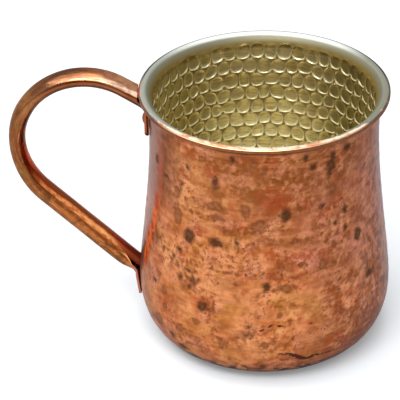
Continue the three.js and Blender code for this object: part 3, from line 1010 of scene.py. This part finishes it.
def tube_rows():
    """The tube's middle line between its two ends: points, ways along it, and how far each
    point has come from the crown's section to the arm's."""
    points, ways, bend_ends = [], [], []
    for reach in evenly(np.linalg.norm(crown_entry - tube_end)):
        points.append(tube_end - upper_run * reach)
        ways.append(-upper_run)
    for centre, radius, start, end in bends:
        for angle in start + evenly((end - start) * radius) / radius:
            points.append(on_round(centre, radius, angle))
            ways.append(np.array([math.sin(angle), math.cos(angle)]))
        bend_ends.append(len(points))
    arm_length = np.linalg.norm(arm_seat - arm_entry) - split_before_wall
    for reach in np.linspace(0, arm_length, round(arm_length / row_spacing) + 1):
        points.append(arm_entry + arm_run * reach)
        ways.append(arm_run)
    first, last = bend_ends
    ease = np.clip((np.arange(len(points)) - first) / (last - first), 0, 1)
    return np.array(points), ways, ease * ease * (3 - 2 * ease)


line_points, line_ways, eased = tube_rows()
line_out = [quarter_left(way) for way in line_ways]
line_reached = reach_along(line_points)
row_thickness = crown_thickness + (arm_thickness - crown_thickness) * eased
row_width = crown_width + (arm_width - crown_width) * eased
wander = np.random.default_rng(3).normal(0, 1, dents_along)
dents = np.interp(line_reached, np.linspace(0, line_reached[-1], dents_along), wander)
smoothing = np.hanning(17) / np.hanning(17).sum()
dents = np.convolve(np.pad(dents, len(smoothing) // 2, mode="edge"), smoothing, "valid")
half_thick = (row_thickness / 2 - tube_wall / 2) * (1 + dent_share * dents)
half_wide = row_width / 2 - tube_wall / 2


def in_space(flat_points, sideways):
    """Points of the handle's plane, as distance out and height, set off sideways from it."""
    return np.c_[-flat_points[:, 0], sideways, flat_points[:, 1]]


def half_tube(far_edge):
    """Rows of half the tube, from its front seam round to far_edge, and the turns of each row's
    points round the tube, 0 on the ear's outer side. The seam climbs before it splits."""
    near_end = np.clip(1 - (line_reached[-1] - line_reached) / split_climbs_over, 0, 1)
    rows = []
    for point, way, out, thick, wide, near in zip(
        line_points, line_ways, line_out, half_thick, half_wide, near_end
    ):
        turns = np.linspace(-math.pi / 2 - split_climb * near, far_edge, half_columns + 1)
        flat = point + np.outer(thick * np.cos(turns), out)
        # The rows of the straight upper stretch lean, so that the tube ends in an upright cut.
        if np.dot(way, -upper_run) > 0.99999:
            share = 1 - np.linalg.norm(point - tube_end) / np.linalg.norm(crown_entry - tube_end)
            flat = flat - np.outer(thick * np.cos(turns) * out[0] / way[0] * share, way)
        rows.append((in_space(flat, wide * np.sin(turns)), turns))
    return rows


def tab_rows(start, run, seat, bend, below, row, gap, slant=0, climbed=0, raised=0):
    """Rows of the half that runs on: a trough that flattens along run, bends and lies on the
    wall down to its foot, a way below its seat. row is the tube's last row, gap the room
    behind the tab, slant leans the rows back, climbed is how far the seam has climbed, and
    raised lifts the bend."""
    seat_point, up, out = seat
    thick, wide = half_thick[row], half_wide[row]
    closer = out * (clearance - gap)
    foot = seat_point + out * (clearance + tube_wall / 2) - up * below - closer
    bend = bend + up * raised - closer
    to_bend = np.linalg.norm(bend - start)
    turn_in = start + run * to_bend * turn_in_share
    into = (bend - turn_in) / np.linalg.norm(bend - turn_in)
    first = bend - into * tab_bend
    last = bend - up * tab_bend
    leaving = start + (turn_in - start) * curve_pull
    coming = turn_in + (first - turn_in) * (1 - curve_pull)
    into_bend = first + (bend - first) * curve_pull
    out_of_bend = last + (bend - last) * curve_pull
    approach = bezier(start, leaving, coming, first, 60)
    curve = bezier(first, into_bend, out_of_bend, last, 60)
    path = resampled(np.vstack([approach, curve[1:], [foot]]), tab_row_spacing)
    ways = np.gradient(path, axis=0)
    ways /= np.linalg.norm(ways, axis=1)[:, None]
    reached = reach_along(path)
    rows = []
    lean = np.linspace(-math.pi / 2 - climbed, math.pi / 2, half_columns + 1)
    level = np.linspace(-1, 1, half_columns + 1)
    wall_bulge = tab_half_width**2 / 2 / seat_point[0]
    for point, way, reach in zip(path[1:], ways[1:], reached[1:]):
        t = min(1, reach / (to_bend + flat_past_bend))
        flatten = t * t * (1.5 - 0.5 * t)
        spread = wide + (tab_half_width - wide) * flatten
        left = max(0.0, (reach - reached[-1] + foot_round) / foot_round)
        spread = spread - foot_narrows * (1 - math.sqrt(max(0.0, 1 - left * left)))
        over = quarter_left(-way)
        rise = thick * (1 - flatten) * (1 - np.cos(lean))
        room = point[0] - wall_radius(point[1]) - tube_wall / 2
        hug = np.clip((reach - to_bend) / hugs_over, 0, 1) * (room + wall_bulge - hug_gap)
        rise = rise + hug * np.clip(level, 0, 1) ** 2
        flat = point + np.outer(rise, over) - np.outer(rise * slant, way)
        across = np.sin(lean) * (1 - flatten) + level * flatten
        rows.append((in_space(flat, spread * across), lean))
    return rows


def at_turn(row, turn):
    """The point of a row in the handle's plane, as distance out and height, at a turn."""
    skin, turns = row
    order = np.argsort(turns)
    out, height = (np.interp(turn, turns[order], skin[order, part]) for part in (0, 2))
    return np.array([-out, height])


def turned_back(last):
    """Rows that carry a tab's last row round its foot and back up the wall under it."""
    foot, turns = last
    back = []
    for rise in np.r_[evenly(back_leaf_length), back_leaf_length]:
        wider = 1 + back_leaf_wider * min(1, rise / foot_round)
        row = foot * (1, wider, 1) + (0, 0, rise)
        row[:, 0] = -np.sqrt((wall_radius(row[:, 2]) + back_leaf_gap) ** 2 - row[:, 1] ** 2)
        back.append((row, turns))
    gap = back[0][0] - foot
    fold = []
    for angle in np.radians([36, 72, 108, 144]):
        deep = math.sin(angle) * fold_drop
        fold.append((foot + gap * (1 - math.cos(angle)) / 2 - (0, 0, deep), turns))
    return fold, back


def to_wall(row, run, gap):
    """A row pushed along run until each of its points lies a gap off the wall."""
    low, high = np.zeros(len(row)), np.full(len(row), furthest_to_wall)
    for _ in range(30):
        middle = (low + high) / 2
        moved = row + np.outer(middle, [-run[0], 0, run[1]])
        room = np.hypot(moved[:, 0], moved[:, 1]) - wall_radius(moved[:, 2])
        low = np.where(room > gap, middle, low)
        high = np.where(room > gap, high, middle)
    return row + np.outer(low, [-run[0], 0, run[1]])


upper_start = tube_end + quarter_left(upper_run) * (crown_thickness - tube_wall) / 2
lower_start = arm_seat + quarter_left(arm_run) * (arm_thickness - tube_wall) / 2
upper_seat, upper_bend = seat_below_bend(
    neck_height, upper_start, upper_run, upper_rivet_below_bend
)
lower_seat, lower_bend = seat_below_bend(
    arm_seat_height, lower_start, arm_run, lower_rivet_below_bend
)
outer_rows = half_tube(math.pi / 2)
inner_rows = half_tube(-1.5 * math.pi)
upper_way = (at_turn(inner_rows[0], -math.pi), upper_run, upper_seat, upper_bend)
lower_way = (at_turn(outer_rows[-1], 0), arm_run, lower_seat, lower_bend)
upper_tab = tab_rows(
    *upper_way, upper_tab_below_rivet, 0, upper_tab_gap, slant=math.tan(upper_slope)
)
upper_tab = [(row, -math.pi - lean) for row, lean in upper_tab]
lower_tab = tab_rows(
    *lower_way, lower_tab_below_rivet, -1, lower_tab_gap, 0, split_climb, lower_bend_raised
)
upper_fold, upper_back = turned_back(upper_tab[-1])
upper_end = (upper_tab + upper_fold + upper_back)[::-1]
last_row, last_turns = inner_rows[-1]
to_cut = to_wall(last_row, arm_run, cut_gap) - last_row
cut_rows = [
    (last_row + to_cut * share, last_turns) for share in np.linspace(0, 1, cut_steps + 1)[1:]
]

sheets = [outer_rows + lower_tab, upper_end + inner_rows + cut_rows]
points, faces = [], []
# What the skin carries: the way along in mm, the turn round in degrees, 1 on the half at the
# ear's inside, how far a row lies onto a tab, and how far it is folded back.
handle_fields = {"along": [], "around": [], "half": [], "tab": [], "back": []}
width = half_columns + 1
# For each sheet: the rows before the tube, those of its cut end, and those over which its tab
# takes on the colour of beaten metal.
beside_tube = ((0, 0, outer_tab_eases), (len(upper_end), len(cut_rows), inner_tab_eases))
for sheet, (first_row, cut, tab_eases) in zip(sheets, beside_tube):
    base = len(points)
    inner_half = float(base > 0)
    middles = np.array([row[half_columns // 2] for row, _ in sheet])
    reached = reach_along(middles)
    reached = (reached - reached[first_row]) / mm
    tube_to = first_row + len(line_points) + cut
    for number, ((row, turns), reach) in enumerate(zip(sheet, reached)):
        past = max(first_row - number, number - tube_to + 1, 0)
        folded = (number < len(upper_back + upper_fold)) + (number < len(upper_back))
        own = (reach, np.degrees(turns), inner_half, min(1, past / tab_eases), inner_half * folded / 2)
        points += row.tolist()
        for values, value in zip(handle_fields.values(), own):
            values += np.broadcast_to(value, width).tolist()
    for index in range(len(sheet) - 1):
        for column in range(half_columns):
            corner = base + index * width + column
            quad = (corner, corner + 1, corner + 1 + width, corner + width)
            faces.append(quad[::-1] if base else quad)
handle = new_piece("tube_handle", points, faces, handle_fields)
thinning = handle.vertex_groups.new(name="beaten")
for number, (tab, back) in enumerate(zip(handle_fields["tab"], handle_fields["back"])):
    thick = 1 - (1 - tab_thinned) * tab - back_leaf_thinned * back
    thinning.add([number], thick, "REPLACE")
metal = {"thickness": tube_wall, "offset": 0, "use_even_offset": True, "vertex_group": "beaten"}
rounded = {"width": edge_round, "segments": 2, "limit_method": "ANGLE", "angle_limit": sharp_angle}
given(handle.modifiers.new("weld", "WELD"), {"merge_threshold": 0.01 * mm})
given(handle.modifiers.new("sheet", "SOLIDIFY"), metal)
given(handle.modifiers.new("edges", "BEVEL"), rounded)

handle_finish, here = new_finish("handle_copper")
along, around, half, tab, back = (here.carried(name) for name in handle_fields)
tab = tab.ramp(0.4, 1)
away_x, _, up_z = here.parts()


def worked(stretch_along, stretch_round):
    """A place on the skin of the tube, for marks that run with its bend."""
    values = {0: along * stretch_along, 1: around * stretch_round}
    return along.node("ShaderNodeCombineXYZ", {}, values)


streaks = worked(0.12, 0.07).grain(0.8, 4, 0.6)
patches = worked(0.3, 0.035).grain(0.8, 3, 0.6)
turn = around + (worked(0.12, 0.07).grain(1.2) - 0.5) * 14
cloud = here.grain(13, 3, 0.6).ramp(0.38, 0.66)
stain = here.grain(5, 4, 0.6).ramp(0.52, 0.68)
arm_stain = here.grain(3.8, 3, 0.6).ramp(0.46, 0.58)
mottle = here.grain(2.2, 4, 0.6)
fine = here.grain(0.6, 3, 0.6)
pits = spots(here.moved(0.8, 2), 2.6, 0.1, 0.4, 0.5, 0.15)
arm = up_z.ramp(66, 56)
bend = away_x.ramp(-70, -82)
crown = (1 - arm) * (1 - bend)
tube_root = away_x.ramp(-58, -47) * crown
upper_bend = bend * up_z.ramp(81, 90)
shoulder = turn.ramp(-44, -28) * crown
front = turn.ramp(-74, -66)
highlight_band = front * turn.ramp(-36, -50)
left_crown = crown * away_x.ramp(-56, -64) * turn.ramp(-68, -50)
dark_reflection_line = turn.ramp(-98, -90) * turn.ramp(-74, -80)
inner_red_reflection = around.ramp(-120, -136) * bend * up_z.ramp(84, 74) * up_z.ramp(52, 60)
high_arm = up_z.ramp(44, 58)
arm_turn = turn - high_arm * 9
top_face = arm_turn.ramp(-152, -166) * arm
ridge_highlight = arm_turn.ramp(-166, -152) * (turn + high_arm * 2).ramp(-120, -132) * arm
ridge_highlight_line = arm_turn.ramp(-156, -148) * arm_turn.ramp(-134, -144) * up_z.ramp(48, 34)
front_face = arm_turn.ramp(-134, -124) * arm
dark_line_below_ridge = front_face * arm_turn.ramp(-106, -116)
low_end = away_x.ramp(-56, -50) * arm
near_wall = away_x.ramp(-52, -46)
inner_end = low_end * half * (turn - near_wall * 20).ramp(-134, -146)
lit_slit_edge = low_end * (1 - half) * around.ramp(-112, -122) * (1 - tab)
# The tabs' faces towards the wall, painted dark red and made dull: painted shade in the gaps behind
# the tabs.
shaded_tab_backs = 0
tab_sides = ((upper_seat, upper_tab_gap, half), (lower_seat, lower_tab_gap, 1 - half))
for (point, _, out), gap, side in tab_sides:
    tab_level = (np.dot(point, out) + gap + tube_wall / 2) / mm
    off_middle = away_x * -out[0] + up_z * out[1] - tab_level
    shaded_tab_backs = off_middle.ramp(-0.22, -0.34) * tab * side + shaded_tab_backs
shaded_tab_backs = shaded_tab_backs * (1 - back.ramp(0.1, 0.4))
tube_copper = here.layered(
    (186, 108, 62),
    (160, 88, 44, cloud),
    (158, 104, 48, stain * 0.6),
    (96, 44, 12, bend * 0.85),
    (158, 104, 52, bend * streaks.ramp(0.5, 0.6) * 0.5),
    (84, 50, 22, bend * patches.ramp(0.5, 0.62) * 0.5),
    (176, 118, 68, upper_bend * 0.75),
    # The crown's top is painted a duller tan: painted shade that tones down the lamp's highlight.
    (156, 104, 74, shoulder * 0.6),
    (120, 88, 42, bend * stain * 0.6),
    # Painted highlight along the crown, palest near the tube's sawn end, broken by streaks.
    (198, 142, 112, highlight_band * crown * 0.6),
    (204, 148, 112, front * tube_root * 0.7),
    (252, 214, 188, highlight_band * tube_root * 0.85),
    # Darker on the crown's upper left: painted shade that tones down the lamp's highlight.
    (108, 70, 48, left_crown * 0.75),
    (158, 100, 62, highlight_band * crown * streaks.ramp(0.5, 0.58) * 0.6),
    (108, 58, 28, streaks.ramp(0.54, 0.68) * 0.5),
    (226, 164, 118, streaks.ramp(0.46, 0.34) * 0.3),
    (116, 64, 32, mottle.ramp(0.5, 0.64) * 0.4),
    # A dark line under the crown's highlight: painted reflection of the dark room.
    (84, 40, 16, dark_reflection_line * crown * 0.7),
    # Darker underside of the crown: painted shade.
    (72, 34, 20, turn.ramp(-92, -100) * crown * 0.85),
    # Darker inner side of the crown and bend, facing the mug: painted shade.
    (60, 20, 6, around.ramp(-118, -134) * (1 - arm) * 0.8),
    # Dark red on the arm's top face, which looks towards the mug: painted reflection of the copper
    # wall.
    (144, 62, 20, top_face * 0.85),
    # Painted highlight along the arm's ridge, in patches, with a brighter line low on the arm.
    (186, 92, 36, ridge_highlight * 0.9),
    (246, 176, 112, ridge_highlight * patches.ramp(0.38, 0.62) * 0.8),
    (255, 196, 124, ridge_highlight_line * arm * 0.8),
    (160, 94, 42, front_face * turn.ramp(-84, -92) * 0.75),
    # A darker line between the ridge and the front face.
    (112, 50, 16, dark_line_below_ridge * 0.6),
    (196, 124, 68, front_face * patches.ramp(0.58, 0.4) * 0.4),
    (124, 72, 32, turn.ramp(-92, -80) * arm * 0.7),
    (104, 56, 24, front_face * mottle.ramp(0.5, 0.62) * 0.55),
    (112, 60, 26, front_face * streaks.ramp(0.5, 0.62) * 0.5),
    (88, 52, 26, arm_stain * turn.ramp(-132, -116) * arm * 0.65),
    # Dark red on the inner half near the wall: painted reflection of the copper wall, darker into
    # painted shade right at the wall.
    (136, 42, 14, inner_end * 0.85),
    (74, 24, 18, inner_end * near_wall * 0.6),
    # Painted highlight on the edge of the split trough.
    (250, 176, 112, lit_slit_edge * 0.9),
    (146, 76, 46, tab * half * 0.8),
    (168, 118, 98, tab * (1 - half) * 0.85),
    # Red-orange on the lower bend's inner face, towards the mug: painted reflection of the copper
    # wall.
    (178, 58, 18, inner_red_reflection * mottle.ramp(0.46, 0.56) * 0.8),
    (176, 60, 22, inner_red_reflection * up_z.ramp(73, 66) * 0.8),
    (168, 58, 24, shaded_tab_backs * 0.95),
    # Dark at the upper tab's folded foot: painted shade.
    (66, 38, 22, back.ramp(0.2, 0.5) * 0.9),
    (128, 88, 58, back.ramp(0.5, 0.8) * 0.9),
    (74, 40, 22, pits * 0.8),
)
folded = back.ramp(0.1, 0.5)
metal = 1 - shoulder * 0.2 - upper_bend * 0.4 - ridge_highlight * 0.75 - top_face * 0.4 - inner_end * 0.3
metal = metal - tube_root * (turn.ramp(-84, -74) * 0.2 + highlight_band * 0.55)
metal = metal - front_face * turn.ramp(-78, -90) * 0.6 - lit_slit_edge * 0.5 - shaded_tab_backs - folded * 0.9
roughness = 0.16 + stain * 0.12 + streaks * 0.1 + pits * 0.2 + shaded_tab_backs * 0.6 + folded * 0.4
relief = streaks * 0.5 + fine * 0.15 - pits * 0.7
complete(tube_copper, metal, roughness, relief, 0.05 * mm, 0.12, (0.6, 0.54, 0.5, 1))
handle.data.materials.append(handle_finish)
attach(handle, "root")
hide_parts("handle")

# Rivets. Each is a copper pin through a tab, the shell and the liner, with a hammered head on
# the tab and a tail spread against the liner. The upper head is domed and the lower one low.
shank_radius = 1.4 * mm
head_radius = 2.1 * mm
head_rim = 0.12 * mm
head_off_tab = 0.06 * mm
upper_head_rise = 0.95 * mm
lower_head_rise = 0.3 * mm
tail_rise = 0.5 * mm
liner_to_tail = 0.45 * mm
rivet_columns = 48
head_undercut = 0.05 * mm
swell_varies = 0.02
swell_lobes = (2, 3, 5)

rivet_finish, here = new_finish("rivet_copper")
mottle = here.grain(1.1, 4, 0.65)
fine = here.grain(0.35, 3, 0.6)
pin_copper = here.layered(
    (164, 100, 66),
    (112, 62, 38, mottle.ramp(0.4, 0.6)),
    (110, 60, 36, fine.ramp(0.52, 0.66) * 0.5),
)
complete(pin_copper, 1.0, 0.26 + mottle * 0.15, mottle * 0.6 + fine * 0.3, 0.06 * mm)


def dome_line(radius, level, rise, steps=9):
    """A low dome's (radius, height) points from its edge to its middle."""
    sphere = (radius**2 + rise**2) / (2 * rise)
    half = math.asin(radius / sphere)
    turns = half * (1 - np.arange(steps) / (steps - 1))
    return np.c_[sphere * np.sin(turns), level + sphere * (np.cos(turns) - math.cos(half))]


def rivet(name, seat, head_rise, gap, seed):
    """A rivet made along +Z with 0 at the shell's outer face, then laid on its seat."""
    head_level = gap + tube_wall * (1 + tab_thinned) / 2 + head_off_tab
    tail_level = wall_stack + liner_to_tail
    head = dome_line(head_radius, head_level + head_rim, head_rise - head_rim)
    tail = dome_line(head_radius, tail_level, tail_rise) * (1, -1)
    shank = [(shank_radius, -tail_level), (shank_radius, head_level)]
    under_head = (head_radius - head_undercut, head_level)
    draw = np.random.default_rng(seed)
    round_pin = round_angles(rivet_columns)
    swell = sum(
        draw.normal(0, swell_varies) * np.cos(lobes * round_pin + draw.random() * 6)
        for lobes in swell_lobes
    )
    rings = []
    for radius, height in np.vstack([tail[::-1], shank, under_head, head]):
        if radius < 0.01 * mm:
            rings.append(np.array([[0, 0, height]]))
        else:
            rings.append(ring(radius * (1 + swell), height, round_pin))
    pin = skin_of_rounds(name, rings)
    point, up, out = seat
    basis = Matrix(((0, -up[0], -out[0]), (-1, 0, 0), (0, up[1], out[1]))).to_4x4()
    basis.translation = Vector((-point[0], 0, point[1]))
    pin.data.transform(basis)
    pin.data.materials.append(rivet_finish)
    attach(pin, "root")
    return pin


upper_pin = rivet("upper_rivet_pin", upper_seat, upper_head_rise, upper_tab_gap, 21)
lower_pin = rivet("lower_rivet_pin", lower_seat, lower_head_rise, lower_tab_gap, 22)
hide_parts("upper_rivet")
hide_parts("lower_rivet")

# Studio. A white table under soft lamps, seen from a little above with a long lens. The camera
# sees the table and the backdrop a little brighter than they light the mug.
table_half = 3.0
corners = [(-1, -1, 0), (1, -1, 0), (1, 1, 0), (-1, 1, 0)]
table_top = new_piece("table_top", (np.array(corners) * table_half).tolist(), [(0, 1, 2, 3)])
table_finish = bpy.data.materials.new("table_white")
seen = emptied(table_finish).node("ShaderNodeLightPath", out="Is Camera Ray")
matt = seen.node("ShaderNodeBsdfDiffuse", {}, {"Color": (0.88, 0.925, 0.965, 1)})
glow = seen.node("ShaderNodeEmission", {}, {"Color": (1, 1, 1, 1), "Strength": 1.0})
table_shader = seen.node("ShaderNodeMixShader", {}, {0: seen * 0.2, 1: matt, 2: glow})
seen.node("ShaderNodeOutputMaterial", {}, {"Surface": table_shader})
table_top.data.materials.append(table_finish)

world = bpy.data.worlds.new("studio")
bpy.context.scene.world = world
seen = emptied(world).node("ShaderNodeLightPath", out="Is Camera Ray")
room = seen.node("ShaderNodeBackground", {}, {"Color": (0.98, 0.99, 1, 1), "Strength": 0.34})
backdrop = seen.node("ShaderNodeBackground", {}, {"Color": (1, 1, 1, 1), "Strength": 1.0})
sky = seen.node("ShaderNodeMixShader", {}, {0: seen, 1: room, 2: backdrop})
seen.node("ShaderNodeOutputWorld", {}, {"Surface": sky})


def soft_lamp(name, place, wide, high, power):
    """An oblong lamp that faces the middle of the mug."""
    settings = {"shape": "RECTANGLE", "size": wide, "size_y": high, "energy": power}
    body = set_out(name, given(bpy.data.lights.new(name, "AREA"), settings))
    body.location = place
    aim = Vector((0, 0, 50 * mm)) - Vector(place)
    body.rotation_euler = aim.to_track_quat("-Z", "Y").to_euler()


soft_lamp("overhead_lamp", (-0.22, -0.05, 0.9), 1.0, 1.0, 10)
soft_lamp("upper_front_lamp", (-0.1, -0.6, 0.8), 0.8, 0.3, 6)

# Camera. Its height, turn and lens are those that put the rim, the base and the handle where
# they lie in the picture.
picture_width = 400
focal_pixels = 2027.88
camera_distance = 698.66 * mm
camera_level = 49.0 * mm
camera_rise = math.radians(31.7224)
camera_roll = math.radians(-1.1218)
aim = Vector((-22.106 * mm, 0, 48.996 * mm))
lens = bpy.data.cameras.new("camera")
lens.sensor_width = 36
lens.lens = focal_pixels * lens.sensor_width / picture_width
camera = set_out("camera", lens)
camera.location = (0, -camera_distance * math.cos(camera_rise), camera_level)
camera.location.z += camera_distance * math.sin(camera_rise)
look = (aim - camera.location).to_track_quat("-Z", "Y")
camera.rotation_mode = "QUATERNION"
camera.rotation_quaternion = look @ Matrix.Rotation(camera_roll, 4, "Z").to_quaternion()
bpy.context.scene.camera = camera
bpy.context.scene.view_settings.view_transform = "Standard"
